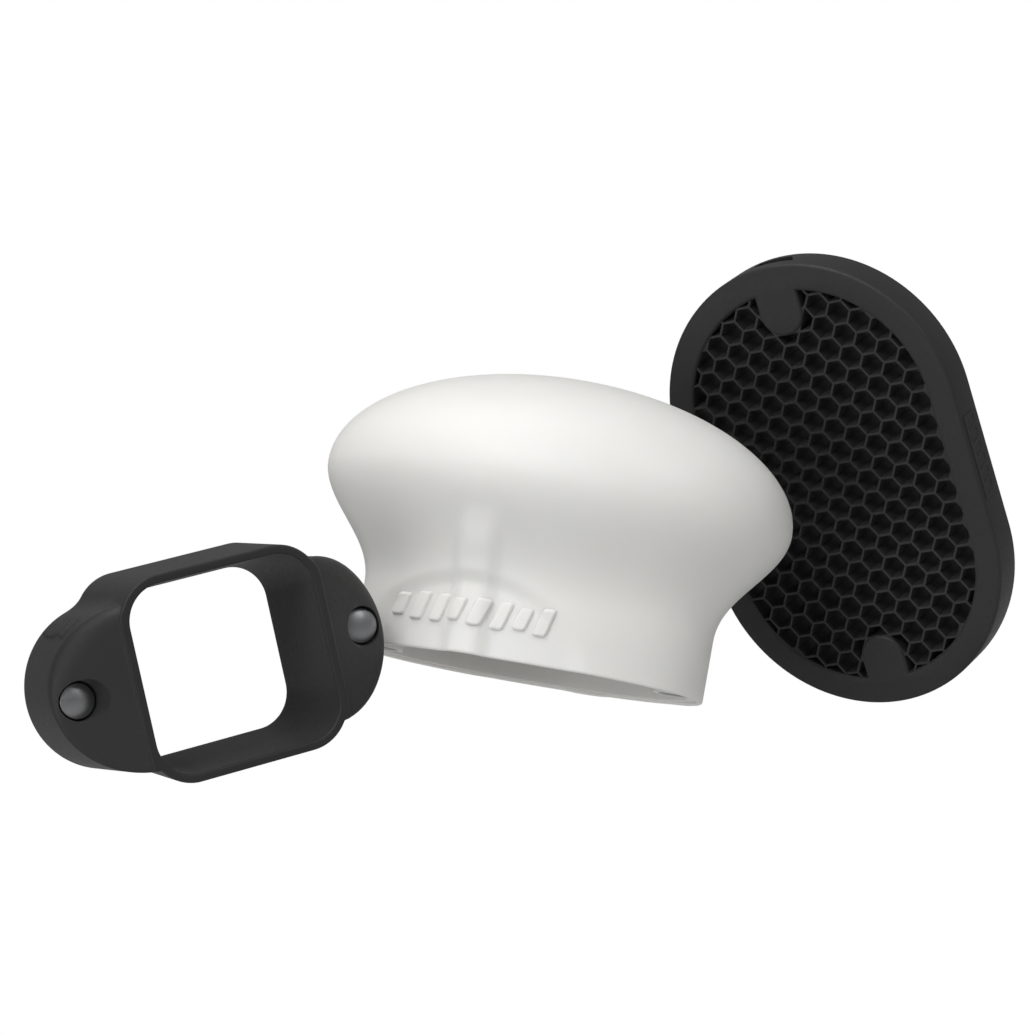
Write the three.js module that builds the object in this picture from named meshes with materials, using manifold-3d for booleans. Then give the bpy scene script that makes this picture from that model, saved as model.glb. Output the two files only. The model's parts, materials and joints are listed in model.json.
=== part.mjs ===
// Magnetic light-shaping kit for a camera flash, in millimetres, +Z up.
// Three pieces lie side by side: a stretch grip, a dome diffuser and a honeycomb grid.
// The origin is the centre of the grip's socket. +X runs along its magnets, +Y towards its front.

import * as THREE from 'three';
import { mergeVertices } from 'three/addons/utils/BufferGeometryUtils.js';
import Module from 'manifold-3d';

const wasm = await Module();
wasm.setup();

const GAP = 0.3;               // clearance between neighbouring pieces

// Grip: a square sleeve whose socket tapers towards the front, with a round ear on each side
const GRIP_DEPTH = 30.8;
const REAR_WIDTH = 49.9;
const REAR_HEIGHT = 48;
const FRONT_WIDTH = 47.4;
const FRONT_HEIGHT = 42.2;
const SLEEVE_CORNER = 9.5;
const SLEEVE_WALL = 2.2;
const EAR_CENTRE = 24.4;       // from the socket's centre to the ear's centre
const EAR_RADIUS = 21;
const EAR_FILLET = 9;
const RAMP_START = 0.8;        // depth of the ramp's inner edge behind the rear rim
const RAMP_END = 10.4;         // depth of the ramp at the ear's outer edge
const FAR = 60;                // beyond every point of the grip
const BAND_HALF = 14;          // half length of the bands that stretch, above and below the socket
const GRIP_MAGNET_X = 39;
const GRIP_MAGNET_RADIUS = 4.6;
const GRIP_POCKET_RADIUS = 5;
const CAP_DEPTH = 9;           // depth of the domed cap's crown behind the rear rim
const CAP_CROWN = 1.1;
const CAP_LENGTH = 3.4;

// Dome: a thin shell, open at the rim, with its own axis along local Z
const DOME_PLACE = new THREE.Vector3(84.7, 0.6, -24.3);
const DOME_TURN = new THREE.Euler(-0.0183, 0.4487, -0.6443);
const DOME_WALL = 1.6;
const DOME_SEGMENTS = 40;
const DOME_HEIGHT = 78.6;
const BULGE_HEIGHT = 47.3;     // height of the widest place above the rim
const BULGE_HALF_LENGTH = 62.5;
const BULGE_HALF_WIDTH = 44.5;
const RIM_HALF_LENGTH = 46.9;
const RIM_HALF_WIDTH = 29.8;
const RIM_SQUARENESS = 2.1;    // superellipse power at the rim; 2 is an ellipse
const WAIST_HEIGHT = 16.1;     // the neck is straight up to here, then it flares
const FLARE_POWER = 2.3;       // how late the neck flares out to the widest place
const INSERT_HEIGHT = 9;
const INSERT_WALL = 2.2;
const INSERT_BASE = 0.8;
const DOME_MAGNET_X = 39;
const DOME_MAGNET_RADIUS = 3.7;
const DOME_MAGNET_LENGTH = 4;
const DOME_CAP_LENGTH = 1.6;
const POD_RADIUS = 5.1;

// Grid: a rounded rim with two magnet bosses and a honeycomb core, front face at local y = 0
const GRID_PLACE = new THREE.Vector3(173.9, -22.1, 5);
const GRID_TURN = new THREE.Euler(0.082, -0.142, -1.017);
const GRID_THICKNESS = 11.2;
const GRID_HALF_WIDTH = 42;
const GRID_HALF_LENGTH = 62.2;
const GRID_RIM = 7.3;
const BOSS_CENTRE = 49.2;
const BOSS_RADIUS = 6.3;
const GRID_MAGNET_RADIUS = 4.3;
const GRID_MAGNET_LENGTH = 4.5;
const GRID_PLUG_LENGTH = 1.5;
const CELL_PITCH = 6.17;
const CELL_WALL = 0.8;
const CORE_RECESS = 0.7;       // the honeycomb lies this far behind the rim's faces
const SLOT_WIDTH = 12;
const SLOT_HEIGHT = 4.4;
const SLOT_DEPTH = 3;
const SLOT_MIDDLE = 6.2;       // depth of the slot's middle behind the front face

const SILICONE = { color: 0x1c1c1d, roughness: 0.62, metalness: 0 };
const WHITE_SILICONE = { color: 0xe9e6df, roughness: 0.5, metalness: 0 };
const BLACK_PLASTIC = { color: 0x0d0d0e, roughness: 0.5, metalness: 0 };
const NICKEL = { color: 0x8d9094, roughness: 0.3, metalness: 1 };

function toSolid(geometry) {
  const bare = geometry.clone();
  bare.deleteAttribute('normal');
  bare.deleteAttribute('uv');
  const merged = mergeVertices(bare, 1e-5);
  const vertProperties = new Float32Array(merged.attributes.position.array);
  const triVerts = new Uint32Array(merged.index.array);
  return new wasm.Manifold(new wasm.Mesh({ numProp: 3, vertProperties, triVerts }));
}

function toGeometry(solid) {
  const { vertProperties, triVerts } = solid.getMesh();
  const geometry = new THREE.BufferGeometry();
  geometry.setAttribute('position', new THREE.BufferAttribute(new Float32Array(vertProperties), 3));
  geometry.setIndex(new THREE.BufferAttribute(new Uint32Array(triVerts), 1));
  geometry.computeVertexNormals();
  return geometry;
}

function namedMesh(name, solid, finish) {
  const mesh = new THREE.Mesh(toGeometry(solid), new THREE.MeshStandardMaterial(finish));
  mesh.name = name;
  return mesh;
}

// Skin over rings of equally many points, with a flat fan over the first and the last ring
function skin(rings) {
  const count = rings[0].length;
  const points = rings.flat();
  const index = [];
  for (let row = 0; row < rings.length - 1; row += 1) {
    const here = row * count;
    const next = here + count;
    for (let i = 0; i < count; i += 1) {
      const j = (i + 1) % count;
      index.push(here + i, here + j, next + j);
      index.push(here + i, next + j, next + i);
    }
  }
  const last = (rings.length - 1) * count;
  for (let i = 1; i < count - 1; i += 1) {
    index.push(0, i + 1, i);
    index.push(last, last + i, last + i + 1);
  }
  const geometry = new THREE.BufferGeometry().setFromPoints(points);
  geometry.setIndex(index);
  return geometry;
}

// Extrusion of an outline drawn in X and Z, from yLow to yHigh
function slab(shape, yLow, yHigh, curveSegments = 8) {
  const options = { depth: yHigh - yLow, bevelEnabled: false, curveSegments };
  const geometry = new THREE.ExtrudeGeometry(shape, options);
  geometry.rotateX(Math.PI / 2);
  geometry.translate(0, yHigh, 0);
  return toSolid(geometry);
}

function boxSolid(low, high) {
  const geometry = new THREE.BoxGeometry(high[0] - low[0], high[1] - low[1], high[2] - low[2]);
  geometry.translate((low[0] + high[0]) / 2, (low[1] + high[1]) / 2, (low[2] + high[2]) / 2);
  return toSolid(geometry);
}

// Round bar parallel to Y
function barAlongY(x, z, radius, yLow, yHigh, sides = 24) {
  const geometry = new THREE.CylinderGeometry(radius, radius, yHigh - yLow, sides);
  geometry.translate(x, (yLow + yHigh) / 2, z);
  return toSolid(geometry);
}

// ---------------------------------------------------------------- grip

const REAR = -GRIP_DEPTH / 2;
const FRONT = GRIP_DEPTH / 2;

function squareRing(halfWidth, halfHeight, corner, y) {
  const ring = [];
  const stepsPerCorner = 6;
  for (const [sx, sz, start] of [[1, 1, 0], [-1, 1, 0.5], [-1, -1, 1], [1, -1, 1.5]]) {
    for (let i = 0; i <= stepsPerCorner; i += 1) {
      const angle = (start + (0.5 * i) / stepsPerCorner) * Math.PI;
      const x = sx * (halfWidth - corner) + corner * Math.cos(angle);
      const z = sz * (halfHeight - corner) + corner * Math.sin(angle);
      ring.push(new THREE.Vector3(x, y, z));
    }
  }
  return ring;
}

function squareBlock(halfSizes, corner, overrun) {
  const ends = [FRONT + overrun, REAR - overrun];
  const rings = halfSizes.map((size, i) => squareRing(size[0], size[1], corner, ends[i]));
  return toSolid(skin(rings));
}

function sleeveOutside() {
  const size = [REAR_WIDTH / 2 + SLEEVE_WALL, REAR_HEIGHT / 2 + SLEEVE_WALL];
  return squareBlock([size, size], SLEEVE_CORNER + SLEEVE_WALL, 0);
}

function socketSpace() {
  const frontSize = [FRONT_WIDTH / 2, FRONT_HEIGHT / 2];
  const rearSize = [REAR_WIDTH / 2, REAR_HEIGHT / 2];
  return squareBlock([frontSize, rearSize], SLEEVE_CORNER, 1);
}

// Outline of the left ear: an arc that runs into the sleeve's corners through hollow fillets
function earOutline() {
  const corner = SLEEVE_CORNER + SLEEVE_WALL;
  const cornerX = REAR_WIDTH / 2 + SLEEVE_WALL - corner;
  const cornerZ = REAR_HEIGHT / 2 + SLEEVE_WALL - corner;
  const toCorner = Math.hypot(EAR_CENTRE - cornerX, cornerZ);
  const reachEar = EAR_RADIUS + EAR_FILLET;
  const reachCorner = corner + EAR_FILLET;
  const along = (reachEar ** 2 - reachCorner ** 2 + toCorner ** 2) / (2 * toCorner);
  const lean = Math.atan2(cornerZ, EAR_CENTRE - cornerX) + Math.acos(along / reachEar);
  const filletX = -EAR_CENTRE + reachEar * Math.cos(lean);
  const filletZ = reachEar * Math.sin(lean);
  const toSleeve = Math.atan2(cornerZ - filletZ, -cornerX - filletX);
  const toEar = lean + Math.PI;
  const shape = new THREE.Shape();
  shape.moveTo(-cornerX, -cornerZ);
  shape.lineTo(-cornerX, cornerZ);
  shape.absarc(filletX, filletZ, EAR_FILLET, toSleeve, toEar - 2 * Math.PI, true);
  shape.absarc(-EAR_CENTRE, 0, EAR_RADIUS, lean, 2 * Math.PI - lean, false);
  shape.absarc(filletX, -filletZ, EAR_FILLET, 2 * Math.PI - toEar, -toSleeve, true);
  return shape;
}

// Wedge in front of the left ear's sloping rear face
function rampWedge() {
  const inner = -REAR_WIDTH / 2 - SLEEVE_WALL;
  const outer = -EAR_CENTRE - EAR_RADIUS - 1;
  const shape = new THREE.Shape();
  shape.moveTo(inner, REAR - 1);
  shape.lineTo(inner, REAR + RAMP_START);
  shape.lineTo(outer, REAR + RAMP_END);
  shape.lineTo(outer, REAR - 1);
  const geometry = new THREE.ExtrudeGeometry(shape, { depth: 2 * FAR, bevelEnabled: false });
  geometry.translate(0, 0, -FAR);
  return toSolid(geometry);
}

function gripBody() {
  const ear = slab(earOutline(), REAR, FRONT, 10).subtract(rampWedge());
  const pocket = barAlongY(-GRIP_MAGNET_X, 0, GRIP_POCKET_RADIUS, REAR - 1, FRONT + 1);
  return sleeveOutside().add(ear).subtract(socketSpace()).subtract(pocket);
}

// The left half keeps everything beyond the bands; the right half is the left one turned about Y
function gripHalf(side) {
  const left = gripBody().intersect(boxSolid([-FAR, -FAR, -FAR], [-BAND_HALF - GAP, FAR, FAR]));
  if (side < 0) return left;
  const geometry = toGeometry(left);
  geometry.rotateY(Math.PI);
  return toSolid(geometry);
}

function gripBand(side) {
  const sleeve = sleeveOutside().subtract(socketSpace());
  const zLow = side > 0 ? 0 : -FAR;
  return sleeve.intersect(boxSolid([-BAND_HALF, -FAR, zLow], [BAND_HALF, FAR, zLow + FAR]));
}

// Cap with a shallow spherical crown facing the rear
function domedCap(side) {
  const rim = REAR + CAP_DEPTH + CAP_CROWN;
  const sphereRadius = (GRIP_MAGNET_RADIUS ** 2 + CAP_CROWN ** 2) / (2 * CAP_CROWN);
  const profile = [new THREE.Vector2(0, REAR + CAP_DEPTH + CAP_LENGTH)];
  profile.push(new THREE.Vector2(GRIP_MAGNET_RADIUS, REAR + CAP_DEPTH + CAP_LENGTH));
  const steps = 4;
  for (let i = 0; i <= steps; i += 1) {
    const radius = GRIP_MAGNET_RADIUS * (1 - i / steps);
    const crown = Math.sqrt(sphereRadius ** 2 - radius ** 2) - (sphereRadius - CAP_CROWN);
    profile.push(new THREE.Vector2(radius, rim - crown));
  }
  profile.reverse();
  const geometry = new THREE.LatheGeometry(profile, 24);
  geometry.translate(side * GRIP_MAGNET_X, 0, 0);
  return toSolid(geometry);
}

function gripMagnet(side) {
  const start = REAR + CAP_DEPTH + CAP_LENGTH + GAP;
  return barAlongY(side * GRIP_MAGNET_X, 0, GRIP_MAGNET_RADIUS, start, FRONT - GAP);
}

function makeGrip() {
  const group = new THREE.Group();
  group.add(namedMesh('grip_left', gripHalf(-1), SILICONE));
  group.add(namedMesh('grip_right', gripHalf(1), SILICONE));
  group.add(namedMesh('grip_band_top', gripBand(1), SILICONE));
  group.add(namedMesh('grip_band_bottom', gripBand(-1), SILICONE));
  for (const [word, side] of [['left', -1], ['right', 1]]) {
    group.add(namedMesh(`grip_cap_${word}`, domedCap(side), NICKEL));
    group.add(namedMesh(`grip_magnet_${word}`, gripMagnet(side), NICKEL));
  }
  return group;
}

// ---------------------------------------------------------------- dome

const easeInOut = (t) => t * t * (3 - 2 * t);

// Half length, half width and squareness of the outer skin at a height below the widest place
function domeSection(height) {
  const t = Math.max(0, height - WAIST_HEIGHT) / (BULGE_HEIGHT - WAIST_HEIGHT);
  const flare = Math.sin((Math.PI / 2) * t) ** FLARE_POWER;
  const halfLength = THREE.MathUtils.lerp(RIM_HALF_LENGTH, BULGE_HALF_LENGTH, flare);
  const halfWidth = THREE.MathUtils.lerp(RIM_HALF_WIDTH, BULGE_HALF_WIDTH, flare);
  const power = THREE.MathUtils.lerp(RIM_SQUARENESS, 2, easeInOut(Math.min(1, height / BULGE_HEIGHT)));
  return { halfLength, halfWidth, power };
}

function superellipseRing(halfLength, halfWidth, power, z) {
  const ring = [];
  for (let i = 0; i < DOME_SEGMENTS; i += 1) {
    const angle = (i / DOME_SEGMENTS) * 2 * Math.PI;
    const [c, s] = [Math.cos(angle), Math.sin(angle)];
    const x = halfLength * Math.sign(c) * Math.abs(c) ** (2 / power);
    const y = halfWidth * Math.sign(s) * Math.abs(s) ** (2 / power);
    ring.push(new THREE.Vector3(x, y, z));
  }
  return ring;
}

// Rings of the skin that lies inset inside the outer one, from startHeight to near the crown
function domeRings(inset, startHeight) {
  const rings = [];
  const sideSteps = 8;
  for (let i = 0; i <= sideSteps; i += 1) {
    const height = THREE.MathUtils.lerp(startHeight, BULGE_HEIGHT, i / sideSteps);
    const { halfLength, halfWidth, power } = domeSection(height);
    rings.push(superellipseRing(halfLength - inset, halfWidth - inset, power, height));
  }
  const crownSteps = 7;
  const flatTop = 0.35;        // part of a step that the flat top takes
  for (let i = 1; i <= crownSteps; i += 1) {
    const angle = (i / (crownSteps + flatTop)) * (Math.PI / 2);
    const shrink = Math.cos(angle);
    const height = BULGE_HEIGHT + (DOME_HEIGHT - BULGE_HEIGHT - inset) * Math.sin(angle);
    const halfLength = (BULGE_HALF_LENGTH - inset) * shrink;
    rings.push(superellipseRing(halfLength, (BULGE_HALF_WIDTH - inset) * shrink, 2, height));
  }
  return rings;
}

function domeShell() {
  const outer = toSolid(skin(domeRings(0, 0)));
  const inner = toSolid(skin(domeRings(DOME_WALL, -1)));
  return outer.subtract(inner);
}

// Upright column with one superellipse section
function column(section, zLow, zHigh) {
  return toSolid(skin([superellipseRing(...section, zLow), superellipseRing(...section, zHigh)]));
}

function tube(outer, inner, zLow, zHigh) {
  return column(outer, zLow, zHigh).subtract(column(inner, zLow - 1, zHigh + 1));
}

function barAlongZ(x, radius, zLow, zHigh) {
  const sides = 24;
  const geometry = new THREE.CylinderGeometry(radius, radius, zHigh - zLow, sides);
  geometry.rotateX(Math.PI / 2);
  geometry.translate(x, 0, (zLow + zHigh) / 2);
  return toSolid(geometry);
}

// Frame that stiffens the rim, with a pod for a magnet at each end
function domeInsert() {
  const grow = DOME_WALL + GAP;
  const outer = [RIM_HALF_LENGTH - grow, RIM_HALF_WIDTH - grow, RIM_SQUARENESS];
  const inner = [outer[0] - INSERT_WALL, outer[1] - INSERT_WALL, RIM_SQUARENESS];
  const top = INSERT_BASE + INSERT_HEIGHT;
  let frame = tube(outer, inner, INSERT_BASE, top);
  const envelope = column(outer, 0, top);
  for (const side of [-1, 1]) {
    const pod = barAlongZ(side * DOME_MAGNET_X, POD_RADIUS, INSERT_BASE, top).intersect(envelope);
    const pocket = barAlongZ(side * DOME_MAGNET_X, DOME_MAGNET_RADIUS + GAP, -1, top + 1);
    frame = frame.add(pod).subtract(pocket);
  }
  return frame;
}

function makeDome() {
  const group = new THREE.Group();
  group.add(namedMesh('dome_shell', domeShell(), WHITE_SILICONE));
  group.add(namedMesh('dome_insert', domeInsert(), WHITE_SILICONE));
  const capStart = INSERT_BASE + GAP + DOME_MAGNET_LENGTH + GAP;
  for (const [word, side] of [['left', -1], ['right', 1]]) {
    const x = side * DOME_MAGNET_X;
    const magnet = barAlongZ(x, DOME_MAGNET_RADIUS, INSERT_BASE + GAP, capStart - GAP);
    const cap = barAlongZ(x, DOME_MAGNET_RADIUS, capStart, capStart + DOME_CAP_LENGTH);
    group.add(namedMesh(`dome_magnet_${word}`, magnet, NICKEL));
    group.add(namedMesh(`dome_cap_${word}`, cap, BLACK_PLASTIC));
  }
  group.position.copy(DOME_PLACE);
  group.rotation.copy(DOME_TURN);
  return group;
}

// ---------------------------------------------------------------- grid

// Two straight sides joined by half rounds, drawn with its long side upright
function stadium(halfWidth, halfLength) {
  const straight = halfLength - halfWidth;
  const shape = new THREE.Shape();
  shape.absarc(0, straight, halfWidth, 0, Math.PI, false);
  shape.absarc(0, -straight, halfWidth, Math.PI, 2 * Math.PI, false);
  return shape;
}

function gridPlate(inset, yLow, yHigh) {
  const arcSegments = 20;
  return slab(stadium(GRID_HALF_WIDTH - inset, GRID_HALF_LENGTH - inset), yLow, yHigh, arcSegments);
}

function boss(side, grow) {
  const inner = side * BOSS_CENTRE;
  const bar = barAlongY(0, inner, BOSS_RADIUS + grow, 0, GRID_THICKNESS, 20);
  const reach = side * (GRID_HALF_LENGTH - 1);
  const low = [-BOSS_RADIUS - grow, 0, Math.min(inner, reach)];
  const high = [BOSS_RADIUS + grow, GRID_THICKNESS, Math.max(inner, reach)];
  return bar.add(boxSolid(low, high));
}

// Short slot in the upper end wall, open at the edge
function endSlot() {
  const shape = new THREE.Shape();
  shape.moveTo(-SLOT_WIDTH / 2, 0);
  shape.lineTo(SLOT_WIDTH / 2, 0);
  shape.lineTo(SLOT_WIDTH / 2 - SLOT_HEIGHT / 2, SLOT_HEIGHT);
  shape.lineTo(-SLOT_WIDTH / 2 + SLOT_HEIGHT / 2, SLOT_HEIGHT);
  const geometry = new THREE.ExtrudeGeometry(shape, { depth: SLOT_DEPTH + 2, bevelEnabled: false });
  geometry.translate(0, SLOT_MIDDLE - SLOT_HEIGHT / 2, GRID_HALF_LENGTH - SLOT_DEPTH);
  return toSolid(geometry);
}

function gridRim() {
  let rim = gridPlate(0, 0, GRID_THICKNESS).subtract(gridPlate(GRID_RIM, -1, GRID_THICKNESS + 1));
  const envelope = gridPlate(0, 0, GRID_THICKNESS);
  const start = GRID_THICKNESS - (GRID_MAGNET_LENGTH + GRID_PLUG_LENGTH + 3 * GAP);
  for (const side of [-1, 1]) {
    const pocket = barAlongY(0, side * BOSS_CENTRE, GRID_MAGNET_RADIUS + GAP, start, GRID_THICKNESS + 1);
    rim = rim.add(boss(side, 0).intersect(envelope)).subtract(pocket);
  }
  return rim.subtract(endSlot());
}

// Cell centres on rows half a pitch apart, so each cell has six neighbours
function cellCentres() {
  const centres = [];
  const rowStep = (CELL_PITCH * Math.sqrt(3)) / 2;
  const rows = Math.ceil(GRID_HALF_WIDTH / rowStep);
  const perRow = Math.ceil(GRID_HALF_LENGTH / CELL_PITCH);
  for (let row = -rows; row <= rows; row += 1) {
    const shift = row % 2 === 0 ? 0 : CELL_PITCH / 2;
    for (let i = -perRow; i <= perRow; i += 1) {
      centres.push([row * rowStep, i * CELL_PITCH + shift]);
    }
  }
  return centres;
}

function cellShape([x, z]) {
  const radius = (CELL_PITCH - CELL_WALL) / Math.sqrt(3);
  const shape = new THREE.Shape();
  for (let i = 0; i < 6; i += 1) {
    const angle = (i * Math.PI) / 3;
    const point = [x + radius * Math.cos(angle), z + radius * Math.sin(angle)];
    if (i === 0) shape.moveTo(...point);
    else shape.lineTo(...point);
  }
  return shape;
}

function gridCore() {
  const yLow = CORE_RECESS;
  const yHigh = GRID_THICKNESS - CORE_RECESS;
  const straight = GRID_HALF_LENGTH - GRID_HALF_WIDTH;
  const roomy = GRID_HALF_WIDTH - GRID_RIM - CELL_WALL + CELL_PITCH / 4;
  const inWindow = ([x, z]) => Math.hypot(x, Math.max(0, Math.abs(z) - straight)) < roomy;
  const clearOfBoss = ([x, z]) => Math.abs(x) > BOSS_RADIUS || Math.abs(z) < BOSS_CENTRE;
  const cells = cellCentres().filter(inWindow).filter(clearOfBoss).map(cellShape);
  const openArea = gridPlate(GRID_RIM + GAP + CELL_WALL, 0, GRID_THICKNESS);
  let block = gridPlate(GRID_RIM + GAP, yLow, yHigh);
  let open = slab(cells, yLow - 1, yHigh + 1).intersect(openArea);
  for (const side of [-1, 1]) {
    block = block.subtract(boss(side, GAP));
    open = open.subtract(boss(side, GAP + CELL_WALL));
  }
  return block.subtract(open);
}

function makeGrid() {
  const group = new THREE.Group();
  group.add(namedMesh('grid_rim', gridRim(), SILICONE));
  group.add(namedMesh('grid_core', gridCore(), SILICONE));
  const magnetEnd = GRID_THICKNESS - GAP;
  const magnetStart = magnetEnd - GRID_MAGNET_LENGTH;
  const plugEnd = magnetStart - GAP;
  for (const [word, side] of [['upper', 1], ['lower', -1]]) {
    const z = side * BOSS_CENTRE;
    const magnet = barAlongY(0, z, GRID_MAGNET_RADIUS, magnetStart, magnetEnd);
    const plug = barAlongY(0, z, GRID_MAGNET_RADIUS, plugEnd - GRID_PLUG_LENGTH, plugEnd);
    group.add(namedMesh(`grid_magnet_${word}`, magnet, NICKEL));
    group.add(namedMesh(`grid_plug_${word}`, plug, BLACK_PLASTIC));
  }
  group.position.copy(GRID_PLACE);
  group.rotation.copy(GRID_TURN);
  return group;
}

const group = new THREE.Group();
group.add(makeGrip(), makeDome(), makeGrid());

export default group;
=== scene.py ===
"""Looks for the magnetic flash modifier kit: a stretch grip, a dome diffuser and a honeycomb grid.

Lengths named here are in millimetres and are turned into metres when a mesh is made.
Each piece is drawn in its own local frame, and the frame's magnets say where that lies.
"""
import json
import math

import bmesh
import bpy
import numpy as np
from mathutils import Matrix, Vector


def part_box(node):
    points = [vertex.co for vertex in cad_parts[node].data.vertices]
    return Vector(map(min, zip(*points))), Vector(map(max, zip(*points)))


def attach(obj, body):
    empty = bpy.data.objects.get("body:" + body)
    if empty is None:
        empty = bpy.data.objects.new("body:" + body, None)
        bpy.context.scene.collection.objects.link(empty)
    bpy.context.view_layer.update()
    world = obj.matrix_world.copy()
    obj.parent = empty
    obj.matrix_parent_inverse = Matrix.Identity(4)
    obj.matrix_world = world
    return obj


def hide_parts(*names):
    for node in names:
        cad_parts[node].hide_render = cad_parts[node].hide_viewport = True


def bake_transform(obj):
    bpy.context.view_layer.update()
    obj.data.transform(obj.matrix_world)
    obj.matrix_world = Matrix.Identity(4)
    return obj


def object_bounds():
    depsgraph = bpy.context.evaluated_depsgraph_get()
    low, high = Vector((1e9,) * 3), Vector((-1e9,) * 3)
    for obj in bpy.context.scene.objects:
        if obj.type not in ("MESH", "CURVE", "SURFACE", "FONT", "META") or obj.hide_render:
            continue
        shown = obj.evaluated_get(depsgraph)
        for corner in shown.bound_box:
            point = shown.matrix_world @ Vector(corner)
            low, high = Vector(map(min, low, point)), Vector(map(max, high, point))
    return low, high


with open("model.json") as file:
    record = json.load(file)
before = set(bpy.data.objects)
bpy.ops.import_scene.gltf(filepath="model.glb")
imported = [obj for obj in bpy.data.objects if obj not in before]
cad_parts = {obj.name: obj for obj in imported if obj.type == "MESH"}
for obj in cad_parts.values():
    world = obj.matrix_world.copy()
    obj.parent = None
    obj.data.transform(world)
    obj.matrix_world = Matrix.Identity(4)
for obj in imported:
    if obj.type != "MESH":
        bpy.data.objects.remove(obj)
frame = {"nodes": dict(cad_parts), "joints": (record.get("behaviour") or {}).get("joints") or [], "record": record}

MM = 0.001
TAU = 2 * math.pi
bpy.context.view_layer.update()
JOINTS = {joint["name"]: joint for joint in frame["joints"]}
MOUNTS = {mount["name"]: mount for mount in frame["record"]["mounts"]}

# Camera: a long lens that looks down a little from the left, rolled to one side
CAMERA_PLACE = (-0.3215, -0.84415, 0.0895)
CAMERA_AIM = (0.073, -0.038, 0.0196)
CAMERA_ROLL = 12.25
CAMERA_LENS = 125.2
CAMERA_CLIP = (0.05, 20.0)     # nearest and furthest distance drawn, in metres
SENSOR = 36.0

FLOOR_DROP = 90.0              # how far the floor lies below the lowest piece


# ---------------------------------------------------------------- places

def centre_of(node):
    """Middle of a CAD node's box, in millimetres."""
    low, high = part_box(node)
    return (low + high) / 2 / MM


def local_frame(origin, x_axis, y_axis, z_axis):
    """Matrix from a piece's own millimetres to the row frame's metres."""
    turn = Matrix((x_axis, y_axis, z_axis)).transposed().to_4x4()
    return Matrix.Translation(Vector(origin) * MM) @ turn @ Matrix.Scale(MM, 4)


def dome_frame(magnet_middle):
    """Rim in the plane z = 0, long axis along X, opening towards -Z."""
    left, right = centre_of("dome_magnet_left"), centre_of("dome_magnet_right")
    z_axis = -Vector(MOUNTS["dome_rim_face"]["axis"]).normalized()
    x_axis = (right - left).normalized()
    y_axis = z_axis.cross(x_axis).normalized()
    x_axis = y_axis.cross(z_axis)
    return local_frame((left + right) / 2 - z_axis * magnet_middle, x_axis, y_axis, z_axis)


def grid_frame(magnet_middle):
    """Front face in the plane y = 0, long axis along Z."""
    upper, lower = centre_of("grid_magnet_upper"), centre_of("grid_magnet_lower")
    y_axis = Vector(JOINTS["grid_pull"]["axis"]).normalized()
    z_axis = (upper - lower).normalized()
    x_axis = y_axis.cross(z_axis).normalized()
    z_axis = x_axis.cross(y_axis)
    return local_frame((upper + lower) / 2 - y_axis * magnet_middle, x_axis, y_axis, z_axis)


# ---------------------------------------------------------------- mesh tools

WELD = 1e-8                    # points nearer than this, in metres, become one
BAR_CORNER = 0.8
BAR_SLANT = 0.3                # sideways lean of a bar for each millimetre up
SHORT_BAR = 0.8                # height of every third bar, as a share of the others'
RELIEF_SINK = 0.15             # how far a relief patch lies under its surface round the bars
RELIEF_EDGE = 0.6              # width of the slope from there to a bar's top


def new_object(name, vertices, faces, place):
    mesh = bpy.data.meshes.new(name)
    mesh.from_pydata([tuple(v) for v in vertices], [], [tuple(f) for f in faces])
    mesh.transform(place)
    mesh.update()
    obj = bpy.data.objects.new(name, mesh)
    bpy.context.scene.collection.objects.link(obj)
    face_outwards(obj)
    return obj


def face_outwards(obj):
    work = bmesh.new()
    work.from_mesh(obj.data)
    bmesh.ops.remove_doubles(work, verts=work.verts, dist=WELD)
    bmesh.ops.recalc_face_normals(work, faces=work.faces)
    work.to_mesh(obj.data)
    work.free()


def shade_smooth(obj, limit=35.0):
    """Smooth shading, with edges sharper than limit degrees kept hard."""
    work = bmesh.new()
    work.from_mesh(obj.data)
    for face in work.faces:
        face.smooth = True
    for edge in work.edges:
        turn = edge.calc_face_angle(0) if len(edge.link_faces) == 2 else math.pi
        edge.smooth = turn < math.radians(limit)
    work.to_mesh(obj.data)
    work.free()
    return obj


def wrapped_faces(rows, columns, closed):
    """Quads over a grid of points whose columns join round; closed joins the rows round too."""
    faces = []
    for row in range(rows if closed else rows - 1):
        below = (row + 1) % rows
        for i in range(columns):
            j = (i + 1) % columns
            upper, lower = row * columns, below * columns
            faces.append((upper + i, upper + j, lower + j, lower + i))
    return faces


def rounded_edge(start, end, steps=5):
    """Cosine and sine pairs of a quarter turn from start to end degrees."""
    angles = np.radians(np.linspace(start, end, steps))
    return list(zip(np.cos(angles), np.sin(angles)))


def smooth_max(a, b, reach):
    """The larger of two values, with a fillet where they are nearer than reach."""
    share = np.clip(reach - np.abs(a - b), 0, None) / reach
    return np.maximum(a, b) + share * share * reach / 4


def smooth_min(a, b, reach):
    return -smooth_max(-a, -b, reach)


def ease(t):
    t = np.clip(t, 0, 1)
    return t * t * (3 - 2 * t)


def eased(start, end, share):
    """Value that turns smoothly from start to end as share goes from 0 to 1."""
    return start + (end - start) * ease(share)


def cut(obj, cutter):
    """Takes cutter away from obj and removes it."""
    modifier = obj.modifiers.new("cut", "BOOLEAN")
    modifier.operation = "DIFFERENCE"
    modifier.solver = "EXACT"
    modifier.object = cutter
    apply_modifiers(obj)
    bpy.data.objects.remove(cutter)


def apply_modifiers(obj):
    bpy.context.view_layer.update()
    evaluated = obj.evaluated_get(bpy.context.evaluated_depsgraph_get())
    mesh = bpy.data.meshes.new_from_object(evaluated)
    obj.modifiers.clear()
    obj.data = mesh


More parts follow.
